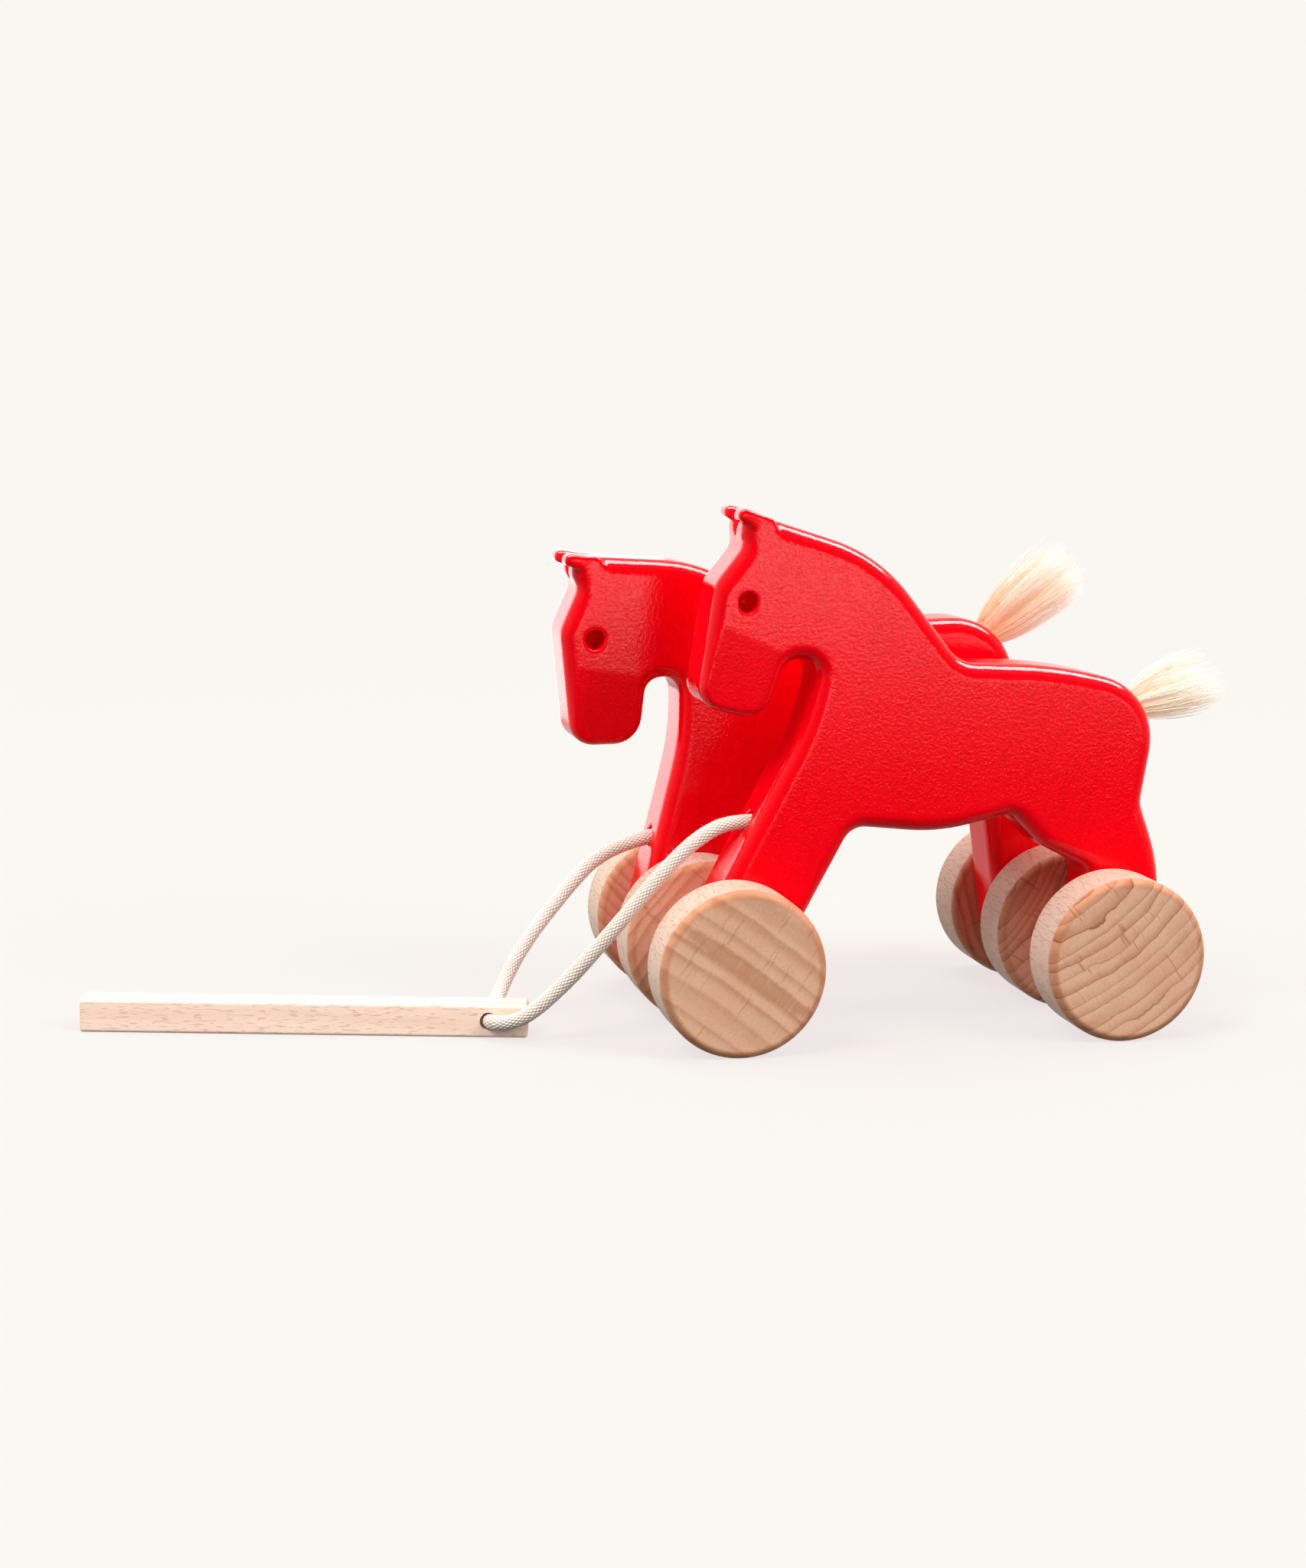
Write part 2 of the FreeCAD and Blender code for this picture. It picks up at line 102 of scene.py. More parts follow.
def side_frames(line):
    """Two cross vectors at each point of a line, turned as little as possible."""
    tangents = np.gradient(line, axis=0)
    tangents /= np.linalg.norm(tangents, axis=1, keepdims=True)
    first = np.cross(tangents[0], [0.0, 0.0, 1.0])
    if np.linalg.norm(first) < 0.1:
        first = np.cross(tangents[0], [0.0, 1.0, 0.0])
    sides = [first / np.linalg.norm(first)]
    for tangent in tangents[1:]:
        side = sides[-1] - tangent * (sides[-1] @ tangent)
        sides.append(side / np.linalg.norm(side))
    sides = np.array(sides)
    return sides, np.cross(tangents, sides)


STRAND_TIP = 0.1                            # share of a strand's radius left at its tip


def hairs_mesh(name, lines, radii):
    """Many fine strands as three-sided tubes that taper to a point.
    lines: strands x points x 3, radii: one for each strand."""
    lines = np.asarray(lines, float)
    count, steps, _ = lines.shape
    along = np.gradient(lines, axis=1)
    along /= np.linalg.norm(along, axis=2, keepdims=True) + 1e-12
    helper = np.where(np.abs(along[..., 2:3]) < 0.9, [0.0, 0.0, 1.0], [0.0, 1.0, 0.0])
    side = np.cross(along, helper)
    side /= np.linalg.norm(side, axis=2, keepdims=True)
    other = np.cross(along, side)
    taper = np.sqrt(np.clip(1.0 - np.linspace(0, 1, steps) ** 3, 0.0, 1.0))
    taper = taper * (1 - STRAND_TIP) + STRAND_TIP
    width = np.asarray(radii)[:, None, None] * taper[None, :, None]
    corners = [lines + width * (math.cos(a) * side + math.sin(a) * other)
               for a in (0.0, 2 * math.pi / 3, 4 * math.pi / 3)]
    points = np.stack(corners, axis=2).reshape(-1, 3)
    base = (np.arange(count)[:, None] * steps + np.arange(steps - 1)[None, :]).ravel() * 3
    faces = []
    for corner in range(3):
        after = (corner + 1) % 3
        faces.append(np.stack([base + corner, base + after, base + 3 + after,
                               base + 3 + corner], axis=1))
    starts = np.arange(count) * steps * 3
    ends = starts + (steps - 1) * 3
    caps = np.concatenate([np.stack([starts + 2, starts + 1, starts], axis=1),
                           np.stack([ends, ends + 1, ends + 2], axis=1)])
    return new_piece(name, points, np.concatenate(faces).tolist() + caps.tolist())


def store(piece, name, values):
    """A value for each vertex, which a material reads by name."""
    piece.data.attributes.new(name, "FLOAT", "POINT").data.foreach_set(
        "value", np.asarray(values, np.float32))


# ------------------------------------------------------------------ pull cord
CORD_DIAMETER = 4.4 * MM
NEAR_ROUTE = [(-42.33, -21.25, 64.04), (-54.75, -21.25, 65.52), (-66.5, -21.6, 60.6),
              (-78.5, -22.1, 48.9), (-91.5, -22.5, 33.8), (-105.5, -22.6, 18.3),
              (-116.0, -22.4, 8.9), (-122.9, -21.3, 5.6), (-128.31, -17.15, 5.0),
              (-126.99, -11.09, 5.0)]
FAR_ROUTE = [(-62.11, 21.25, 54.30), (-84.3, 20.9, 51.3), (-101.9, 13.6, 35.4),
             (-114.6, 9.0, 20.2), (-119.4, 7.2, 11.2), (-123.2, 2.2, 5.8),
             (-125.67, -5.03, 5.0)]
PLAITS = 13
PLAIT_PITCH = 1.75 * MM
PLAIT_HEIGHT = 0.30 * MM
PLAIT_MIDDLE = 0.72                         # share of a yarn's height inside the cord's radius
CORD_STEP = 0.12 * MM
CORD_SIDES = 104
WOBBLES = ((0.02, 7.1 * MM, 1), (0.015, 2.9 * MM, 2))    # share of the radius, run, seed factor
CORD_ROUGHNESS = 0.012 * MM
FUZZ_STRANDS, FUZZ_STEPS = 900, 5
FUZZ_SPAN = (0.09, 0.93)                    # share of the cord's length that has fuzz
FUZZ_FOOT = 0.47                            # share of the diameter


def smooth_line(name, route):
    """The cord's centre line: points along the NURBS spline of its route."""
    curve = bpy.data.curves.new(name, "CURVE")
    curve.dimensions = "3D"
    curve.resolution_u = 24
    spline = curve.splines.new("NURBS")
    spline.points.add(len(route) - 1)
    for point, place in zip(spline.points, route):
        point.co = (*(Vector(place) * MM), 1.0)
    spline.order_u = 3
    spline.use_endpoint_u = True
    holder = bpy.data.objects.new(name, curve)
    mesh = bpy.data.meshes.new_from_object(holder)
    line = np.array([v.co for v in mesh.vertices])
    bpy.data.objects.remove(holder)
    return line


def spaced(line, step):
    """The same line with its points evenly spaced."""
    runs = np.linalg.norm(np.diff(line, axis=0), axis=1)
    travel = np.concatenate([[0.0], np.cumsum(runs)])
    marks = np.linspace(0.0, travel[-1], int(travel[-1] / step) + 1)
    return np.stack([np.interp(marks, travel, line[:, k]) for k in range(3)], axis=1), marks


def plait_height(around, travel):
    """Height of a fine plaited cover: two families of yarns that pass over and under."""
    turn = around / (2 * math.pi) * PLAITS
    climb = travel / PLAIT_PITCH
    one, two = turn + climb, turn - climb
    over = (np.floor(one) + np.floor(two)) % 2
    first, second = np.sin(np.pi * (one % 1)), np.sin(np.pi * (two % 1))
    return np.where(over < 0.5, first ** 0.6 * second ** 0.3, second ** 0.6 * first ** 0.3)


def make_fuzz(name, random, rings, side, other):
    """Fine cotton hairs that stand off the cord."""
    where = random.uniform(*FUZZ_SPAN, FUZZ_STRANDS) * (len(rings) - 1)
    row = where.astype(int)
    turn = random.uniform(0, 2 * math.pi, FUZZ_STRANDS)
    out = np.cos(turn)[:, None] * side[row] + np.sin(turn)[:, None] * other[row]
    foot = rings[row] + out * CORD_DIAMETER * FUZZ_FOOT
    length = random.gamma(2.2, 0.26, FUZZ_STRANDS).clip(0.15, 1.6) * MM
    heading = out + random.normal(0, 0.75, (FUZZ_STRANDS, 3))
    heading /= np.linalg.norm(heading, axis=1, keepdims=True)
    curl = random.normal(0, 0.35, (FUZZ_STRANDS, 3)) * length[:, None]
    t = np.linspace(0, 1, FUZZ_STEPS)[None, :, None]
    lines = foot[:, None] + heading[:, None] * length[:, None, None] * t + curl[:, None] * t ** 2
    return hairs_mesh(name, lines, random.uniform(0.016, 0.03, FUZZ_STRANDS) * MM)


def make_cord(name, node, body, route, seed):
    """Plaited mesh tube along the route's spline, with its fuzz."""
    random = np.random.default_rng(seed)
    line = smooth_line(name + "_line", route)
    rings, marks = spaced(line, CORD_STEP)
    side, other = side_frames(rings)
    angle = np.linspace(0, 2 * math.pi, CORD_SIDES, endpoint=False)
    ridge = plait_height(angle[None, :], marks[:, None])
    wobble = sum(share * np.sin(marks / run + factor * seed) for share, run, factor in WOBBLES)
    radius = (CORD_DIAMETER / 2 * (1 + wobble[:, None]) + PLAIT_HEIGHT * (ridge - PLAIT_MIDDLE)
              + CORD_ROUGHNESS * random.standard_normal(ridge.shape))
    spokes = (np.cos(angle)[None, :, None] * side[:, None, :]
              + np.sin(angle)[None, :, None] * other[:, None, :])
    points = (rings[:, None, :] + radius[..., None] * spokes).reshape(-1, 3)
    count = len(rings)
    ring = np.arange(count - 1)[:, None] * CORD_SIDES
    here = np.arange(CORD_SIDES)[None, :]
    after = (here + 1) % CORD_SIDES
    faces = np.stack([ring + here, ring + after, ring + CORD_SIDES + after,
                      ring + CORD_SIDES + here], axis=-1).reshape(-1, 4).tolist()
    faces.append(list(range(CORD_SIDES))[::-1])
    faces.append([(count - 1) * CORD_SIDES + k for k in range(CORD_SIDES)])
    cord = new_piece(name, points, faces)
    # depth between the yarns, which the cotton material turns into painted shade
    store(cord, "valley", 1.0 - ridge.ravel())
    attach(cord, body)
    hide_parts(node)

    fuzz = make_fuzz(name + "_fuzz", random, rings, side, other)
    fuzz.parent = cord
    return cord, fuzz


near_cord = make_cord("near_cord", "near_pull_cord", "near_horse", NEAR_ROUTE, 3)
far_cord = make_cord("far_cord", "far_pull_cord", "far_horse", FAR_ROUTE, 8)


# ------------------------------------------------------------------ material tools
class Shader:
    """A node material on one Principled surface, in the piece's own coordinates."""

    def __init__(self, name):
        self.material = bpy.data.materials.new(name)
        self.material.use_nodes = True
        self.tree = self.material.node_tree
        self.surface = self.tree.nodes["Principled BSDF"]
        self.place = self.add("ShaderNodeTexCoord").outputs["Object"]

    def add(self, kind, inputs=(), **settings):
        node = self.tree.nodes.new(kind)
        for name, value in settings.items():
            setattr(node, name, value)
        for name, value in dict(inputs).items():
            if isinstance(value, bpy.types.NodeSocket):
                self.tree.links.new(value, node.inputs[name])
            else:
                node.inputs[name].default_value = value
        return node

    def set(self, inputs):
        for name, value in inputs.items():
            if isinstance(value, bpy.types.NodeSocket):
                self.tree.links.new(value, self.surface.inputs[name])
            else:
                self.surface.inputs[name].default_value = value

    def math(self, operation, a, b=0.0):
        return self.add("ShaderNodeMath", {0: a, 1: b}, operation=operation).outputs[0]

    def times(self, a, b):
        return self.math("MULTIPLY", a, b)

    def hypot(self, a, b):
        return self.math("SQRT", self.math("ADD", self.math("POWER", a, 2.0),
                                           self.math("POWER", b, 2.0)))

    def fade(self, value, low, high):
        """0 below low, 1 above high, smooth between."""
        return self.add("ShaderNodeMapRange", {"Value": value, "From Min": low, "From Max": high},
                        interpolation_type="SMOOTHSTEP").outputs["Result"]

    def moved(self, vector, by):
        return self.add("ShaderNodeVectorMath", {0: vector, 1: by}, operation="ADD").outputs[0]

    def stretched(self, vector, scale, turn=(0, 0, 0)):
        """Turned first, then scaled: how many cells of noise fit in a metre of each axis."""
        turned = self.add("ShaderNodeMapping", {"Vector": vector, "Rotation": turn}).outputs[0]
        return self.add("ShaderNodeVectorMath", {0: turned, 1: scale},
                        operation="MULTIPLY").outputs[0]

    def noise(self, vector, scale=1.0, detail=2.0, distortion=0.0):
        return self.add("ShaderNodeTexNoise", {"Vector": vector, "Scale": scale,
                                               "Detail": detail,
                                               "Distortion": distortion}).outputs["Fac"]

    def blend(self, share, a, b, mode="MIX"):
        mix = self.add("ShaderNodeMix", data_type="RGBA", blend_type=mode)
        for index, value in ((0, share), (6, a), (7, b)):
            if isinstance(value, bpy.types.NodeSocket):
                self.tree.links.new(value, mix.inputs[index])
            else:
                mix.inputs[index].default_value = value
        return mix.outputs[2]

    def tint(self, base, mask, share, tone):
        """The base, moved this share of the way to another tone where the mask is 1."""
        return self.blend(self.times(mask, share), base, tone)

    def bump(self, height, depth, strength=1.0, under=None):
        inputs = {"Height": height, "Distance": depth, "Strength": strength}
        if under is not None:
            inputs["Normal"] = under
        return self.add("ShaderNodeBump", inputs).outputs[0]


def colour(red, green, blue):
    """Screen colour, 0 to 255, as the linear colour a shader takes."""
    linear = [c / 255 / 12.92 if c <= 10 else ((c / 255 + 0.055) / 1.055) ** 2.4
              for c in (red, green, blue)]
    return (*linear, 1.0)


def lacquer(name, grain_lean):
    """Thick glossy red lacquer with orange peel, a faint speckle (fine pores, with a painted
    speckle of the sheen the peel breaks up) and a hint of the grain.
    """
    s = Shader(name)
    grain = s.stretched(s.place, (480.0, 400.0, 30.0), (0, grain_lean, 0))
    streak = s.fade(s.noise(grain, 1.0, 3.0), 0.45, 0.8)
    broad = s.noise(s.stretched(s.place, (60.0, 40.0, 14.0), (0, grain_lean, 0)), 1.0, 2.0)
    base = s.blend(s.fade(broad, 0.3, 0.7), colour(251, 0, 20), colour(247, 0, 17))
    base = s.tint(base, streak, 0.28, colour(208, 0, 8))
    speck = s.noise(s.place, 1250.0, 2.0)
    # darker specks on the same noise as the peel: fine pores, plus a painted speckle of the
    # lacquer's sheen
    base = s.tint(base, s.fade(speck, 0.38, 0.62), 0.30, colour(216, 0, 10))
    dots = s.fade(s.noise(s.moved(s.place, (3.0, 1.0, 2.0)), 900.0, 1.0), 0.70, 0.76)
    peel = s.bump(speck, 0.08 * MM, 0.75)
    peel = s.bump(dots, 0.06 * MM, 0.16, peel)
    s.set({"Base Color": base, "Roughness": 0.5, "Specular IOR Level": 0.0, "Normal": peel,
           "Coat Weight": 1.0, "Coat Roughness": 0.07, "Coat IOR": 1.32, "Coat Normal": peel})
    return s.material


# Where a wheel's wood changes, each as the start and the end of a soft edge: distance from the
# axle line for the sanded corner and for the tread, and distance from mid-width for the tread.
SANDED_FROM = (21.9 * MM, 23.4 * MM)
TREAD_FROM = (24.2 * MM, 24.9 * MM)
TREAD_TO = (6.7 * MM, 8.0 * MM)
RING_SHIFT = 1.5 * MM


def growth_rings(s, grain, axes, pith_distance, spacing, edge, seed):
    """Late wood, the thin dark line that ends each ring, and a random tone for each ring."""
    wave = s.noise(s.moved(s.stretched(grain, (62.0, 34.0, 80.0)), (seed, seed, seed)), 1.0, 3.0)
    ripple = s.noise(s.moved(s.stretched(grain, (160.0, 60.0, 520.0)), (seed, 0, 0)), 1.0, 1.0)
    uneven = s.noise(s.moved(s.stretched(grain, (150.0, 0.0, 0.0)), (seed * 3, 0, 0)), 1.0, 1.0)
    radial = s.hypot(s.math("SUBTRACT", pith_distance, axes["X"]), axes["Z"])
    for waviness, size in ((uneven, 1.9 * spacing), (wave, (1.4 + 1.4 * edge) * MM),
                           (ripple, 0.10 * spacing)):
        radial = s.math("ADD", radial, s.times(waviness, size))
    ring = s.math("DIVIDE", radial, spacing)
    part = s.math("FRACT", ring)
    vary = s.add("ShaderNodeTexWhiteNoise", {"W": s.math("FLOOR", ring)},
                 noise_dimensions="1D").outputs["Value"]
    fall = s.math("SUBTRACT", 1.0, s.fade(part, 0.93 if edge > 0.5 else 0.80, 1.0))
    late = s.times(s.times(s.fade(part, 0.15, 0.95), fall),
                   s.math("ADD", 0.45, s.times(vary, 0.55)))
    line = s.times(s.times(s.fade(part, 0.88, 0.95), fall),
                   s.math("ADD", 0.5, s.times(vary, 0.5)))
    return late, line, vary


def ray_cracks(s, axes, vary, seed):
    """Thin cracks across the rings, moved a little from one ring to the next."""
    place = s.add("ShaderNodeCombineXYZ", {
        "X": s.times(axes["X"], 65.0), "Y": seed * 1.7,
        "Z": s.times(s.math("ADD", axes["Z"], s.times(vary, RING_SHIFT)), 1150.0)}).outputs[0]
    return s.fade(s.noise(place, 1.0, 0.0), 0.69, 0.80)


def end_grain(name, centre, pith, spacing, edge, seed):
    """Beech disc cut across the grain: growth rings round a far pith, each darker towards its
    outer edge, fine ray cracks across them, a warmer, darker sanded corner and a greyer tread
    with pores that run along the axle. edge: 0 for soft bands, 1 for sharp ring lines."""
    s = Shader(name)
    local = s.moved(s.place, tuple(-centre))
    grain = s.stretched(local, (1, 1, 1), (0, math.atan2(pith[1], pith[0]), 0))
    axes = s.add("ShaderNodeSeparateXYZ", {"Vector": grain}).outputs
    late, line, vary = growth_rings(s, grain, axes, math.hypot(*pith), spacing, edge, seed)
    crack = ray_cracks(s, axes, vary, seed)
    rays = s.noise(s.stretched(grain, (230.0, 60.0, 2300.0)), 1.0, 2.0)
    pores = s.noise(s.place, 2300.0, 2.0)
    broad = s.noise(s.stretched(grain, (40.0, 20.0, 90.0)), 1.0, 2.0)
    face = s.blend(s.fade(broad, 0.25, 0.75), colour(238, 189, 159), colour(230, 177, 145))
    face = s.tint(face, late, 0.78 - 0.13 * edge, colour(184, 120, 84))
    face = s.tint(face, line, 0.14 + 0.72 * edge, colour(146, 82, 48))
    face = s.tint(face, crack, 0.25 + 0.25 * edge, colour(168, 108, 74))
    face = s.tint(face, s.fade(rays, 0.5, 0.72), 0.22, colour(232, 194, 168))
    face = s.tint(face, s.fade(pores, 0.5, 0.72), 0.26, colour(170, 116, 86))
    # Corner and tread, by distance from the axle line and along it.
    own = s.add("ShaderNodeSeparateXYZ", {"Vector": local}).outputs
    radius = s.hypot(own["X"], own["Z"])
    along = s.math("ABSOLUTE", own["Y"])
    dashes = s.noise(s.stretched(local, (1900.0, 240.0, 1900.0)), 1.0, 1.0)
    tread = s.tint(colour(215, 187, 168), s.fade(dashes, 0.52, 0.66), 0.55, colour(186, 128, 98))
    warm = s.blend(s.noise(s.place, 260.0, 2.0), colour(232, 204, 182), colour(220, 188, 160))
    sanded = s.blend(1.0, face, warm, "MULTIPLY")
    wood = s.blend(s.times(s.fade(radius, *SANDED_FROM), 0.75), face, sanded)
    rim = s.times(s.fade(radius, *TREAD_FROM), s.math("SUBTRACT", 1.0, s.fade(along, *TREAD_TO)))
    wood = s.blend(rim, wood, tread)
    height = s.math("SUBTRACT", s.times(rays, 0.8), s.times(crack, 0.2))
    rough = s.bump(height, 0.05 * MM, 0.5, s.bump(pores, 0.04 * MM, 0.4))
    s.set({"Base Color": wood, "Roughness": 0.5, "Specular IOR Level": 0.3, "Normal": rough})
    return s.material


def long_grain(name, turn, light, dark):
    """Planed beech along its grain, with the short dark flecks of the rays."""
    s = Shader(name)
    grain = s.stretched(s.place, (1, 1, 1), turn)
    broad = s.noise(s.stretched(grain, (18.0, 260.0, 260.0)), 1.0, 2.0, 0.4)
    lines = s.noise(s.stretched(grain, (60.0, 1500.0, 1500.0)), 1.0, 3.0)
    flecks = s.noise(s.stretched(grain, (320.0, 2600.0, 2600.0)), 1.0, 0.0)
    wood = s.blend(s.fade(broad, 0.35, 0.7), light, dark)
    wood = s.tint(wood, s.fade(lines, 0.5, 0.75), 0.25, colour(222, 180, 152))
    wood = s.tint(wood, s.fade(flecks, 0.62, 0.7), 0.5, colour(196, 146, 116))
    rough = s.bump(lines, 0.05 * MM, 0.5)
    s.set({"Base Color": wood, "Roughness": 0.52, "Specular IOR Level": 0.35, "Normal": rough})
    return s.material


def cotton(name, high, low):
    """Plaited cotton, with painted shade darkening the valleys between the yarns."""
    s = Shader(name)
    valley = s.add("ShaderNodeAttribute", attribute_name="valley").outputs["Fac"]
    fibre = s.noise(s.place, 5200.0, 2.0)
    # painted shade: the low colour darkens the valleys between the yarns
    base = s.blend(s.fade(valley, 0.15, 0.85), high, low)
    base = s.tint(base, fibre, 0.3, colour(255, 252, 246))
    s.set({"Base Color": base, "Roughness": 0.9, "Specular IOR Level": 0.2,
           "Sheen Weight": 0.25, "Sheen Roughness": 0.5,
           "Normal": s.bump(fibre, 0.05 * MM, 0.5)})
    return s.material


STRAND_GLOW = 0.22                          # stands in for light that passes through cotton


def fibres(name, root, tip, shade):
    """Combed-out rope strands, paler to the tip. Each has its own tone and glows a little."""
    s = Shader(name)
    along = s.add("ShaderNodeAttribute", attribute_name="along").outputs["Fac"]
    tone = s.add("ShaderNodeAttribute", attribute_name="tone").outputs["Fac"]
    base = s.blend(s.fade(along, 0.05, 0.8), root, tip)
    base = s.tint(base, s.fade(tone, 0.35, 0.85), 0.75, shade)
    s.set({"Base Color": base, "Roughness": 0.55, "Specular IOR Level": 0.3,
           "Sheen Weight": 0.2, "Emission Color": base, "Emission Strength": STRAND_GLOW})
    return s.material


# ------------------------------------------------------------------ horses
VOXEL = 0.55 * MM
SOFTENING, SOFTENING_ROUNDS = 0.5, 4
EAR_REACH, EAR_COAT = 7.0 * MM, 0.6 * MM    # how far round its tips an ear is thickened, by what
EAR_SEARCH = 2.0                            # weight of height against reach to the front
GRAIN_LEAN = {"near": -0.30, "far": -0.10}  # of the grain under the lacquer, in radians


def thicken_ear(mesh):
    """Move the surface out near the ear's tips, the highest points at the front."""
    place, normal = (np.empty(3 * len(mesh.vertices)) for _ in range(2))
    mesh.vertices.foreach_get("co", place)
    mesh.vertices.foreach_get("normal", normal)
    place, normal = place.reshape(-1, 3), normal.reshape(-1, 3)
    tip = place[np.argmin(place[:, 0] - EAR_SEARCH * place[:, 2])]
    away = np.hypot(place[:, 0] - tip[0], place[:, 2] - tip[2]) / EAR_REACH
    place += normal * (EAR_COAT * np.clip(1 - away ** 2, 0, 1) ** 2)[:, None]
    mesh.vertices.foreach_set("co", place.ravel())


def soft_copy(node, name):
    """Fine, evenly meshed copy of a CAD solid, with its creases softened like thick lacquer."""
    source = frame["nodes"][node]
    copy = bpy.data.objects.new(name + "_start", source.data.copy())
    bpy.context.scene.collection.objects.link(copy)
    remesh = copy.modifiers.new("even", "REMESH")
    remesh.mode, remesh.voxel_size = "VOXEL", VOXEL
    relax = copy.modifiers.new("soft", "SMOOTH")
    relax.factor, relax.iterations = SOFTENING, SOFTENING_ROUNDS
    bpy.context.view_layer.update()
    shaped = copy.evaluated_get(bpy.context.evaluated_depsgraph_get())
    mesh = bpy.data.meshes.new_from_object(shaped)
    mesh.name = name
    thicken_ear(mesh)
    mesh.materials.clear()
    mesh.polygons.foreach_set("use_smooth", [True] * len(mesh.polygons))
    bpy.data.objects.remove(copy)
    piece = bpy.data.objects.new(name, mesh)
    bpy.context.scene.collection.objects.link(piece)
    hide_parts(node)
    return piece


for horse, lean in GRAIN_LEAN.items():
    board = soft_copy(horse + "_horse_body", horse + "_horse")
    board.data.materials.append(lacquer(horse + "_red_lacquer", lean))
    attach(board, horse + "_horse")


# ------------------------------------------------------------------ wheels
WHEEL_SEGMENTS = 192
CORNER = 2.5 * MM
CORNER_TURNS = [math.radians(a) for a in range(6, 90, 7)]
FACE_RINGS = (0.12, 0.3, 0.5, 0.7, 0.85, 0.95, 0.985, 1.0)    # shares of the flat face's radius
TREAD_RINGS = (-0.735, -0.72, -0.5, -0.25, 0.0)               # shares of half the width


def wheel_profile(radius, half):
    """(radius, y) from one face's centre, round the corner and the tread, to the other's."""
    flat = radius - CORNER
    side = [(r * flat, -half) for r in FACE_RINGS]
    arc = [(flat + CORNER * math.sin(a), -half + CORNER * (1 - math.cos(a)))
           for a in CORNER_TURNS]
    tread = [(radius, y * half) for y in TREAD_RINGS]
    first = side + arc + tread
    return first + [(r, -y) for r, y in reversed(first[:-1])]


def make_wheel(node, body, pith, spacing, edge, seed):
    """The profile turned round the wheel's own axle line, with its own wood."""
    low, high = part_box(node)
    centre = (low + high) / 2
    profile = wheel_profile((high.x - low.x) / 2, (high.y - low.y) / 2)
    angle = np.linspace(0, 2 * math.pi, WHEEL_SEGMENTS, endpoint=False)
    rings = [np.stack([centre.x + r * np.cos(angle), np.full(WHEEL_SEGMENTS, centre.y + y),
                       centre.z + r * np.sin(angle)], axis=1) for r, y in profile]
    points = np.concatenate(rings + [[[centre.x, low.y, centre.z], [centre.x, high.y, centre.z]]])
    here = np.arange(WHEEL_SEGMENTS)
    after = (here + 1) % WHEEL_SEGMENTS
    faces = []
    for k in range(len(profile) - 1):
        one, two = k * WHEEL_SEGMENTS, (k + 1) * WHEEL_SEGMENTS
        faces += np.stack([one + here, one + after, two + after, two + here], axis=1).tolist()
    hub, last = len(profile) * WHEEL_SEGMENTS, (len(profile) - 1) * WHEEL_SEGMENTS
    faces += np.stack([np.full(WHEEL_SEGMENTS, hub), after, here], axis=1).tolist()
    faces += np.stack([np.full(WHEEL_SEGMENTS, hub + 1), last + here, last + after],
                      axis=1).tolist()
    wheel = new_piece(node.replace("_wheel", "_disc"), points, faces)
    wheel.data.materials.append(end_grain(node + "_beech", centre, pith, spacing, edge, seed))
    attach(wheel, body)
    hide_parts(node)


WOOD_SEED_STEP = 3.7
# Each wheel comes from another place in the log: pith offset (x, z), ring spacing and how
# sharply its rings end.
WHEELS = {
    "front_near": ((-0.16, -0.22), 6.4 * MM, 0.1), "front_middle": ((0.07, -0.06), 3.6 * MM, 0.5),
    "front_far": ((0.05, 0.08), 3.2 * MM, 0.5), "rear_near": ((-0.045, 0.062), 4.1 * MM, 1.0),
    "rear_middle": ((-0.08, 0.05), 3.4 * MM, 1.0), "rear_far": ((0.09, 0.03), 3.2 * MM, 0.5),
}
for seed, (place, (pith, spacing, edge)) in enumerate(WHEELS.items(), start=1):
    make_wheel(place + "_wheel", place.split("_")[0] + "_wheels", pith, spacing, edge,
               seed * WOOD_SEED_STEP)


# ------------------------------------------------------------------ tails
TAIL_LOCKS, TAIL_STEPS = 46, 12
TAIL_ROOT_RADIUS, TAIL_ROOT_DEPTH = 2.6 * MM, 3.0 * MM
TAIL_SWELL, TAIL_SWELL_TURN = 0.75, 0.56 * math.pi    # how early and how far the tuft opens
TAIL_MOUTHS = {"near": Vector((70.10, -21.25, 98.98)), "far": Vector((38.10, 21.25, 116.10))}
# lift is in degrees, length and droop are in mm, and spread is how far the outermost strands
# stand off the middle, as a share of their length.
TAIL_LOOKS = {
    "near": dict(lift=21.0, spread=0.25, length=33.0, droop=1.8, strands=850, seed=21,
                 root=colour(250, 238, 220), tip=colour(251, 247, 242),
                 shade=colour(236, 206, 160)),
    "far": dict(lift=42.0, spread=0.21, length=42.0, droop=1.5, strands=1150, seed=34,
                root=colour(248, 208, 178), tip=colour(246, 238, 230),
                shade=colour(240, 192, 146)),
}


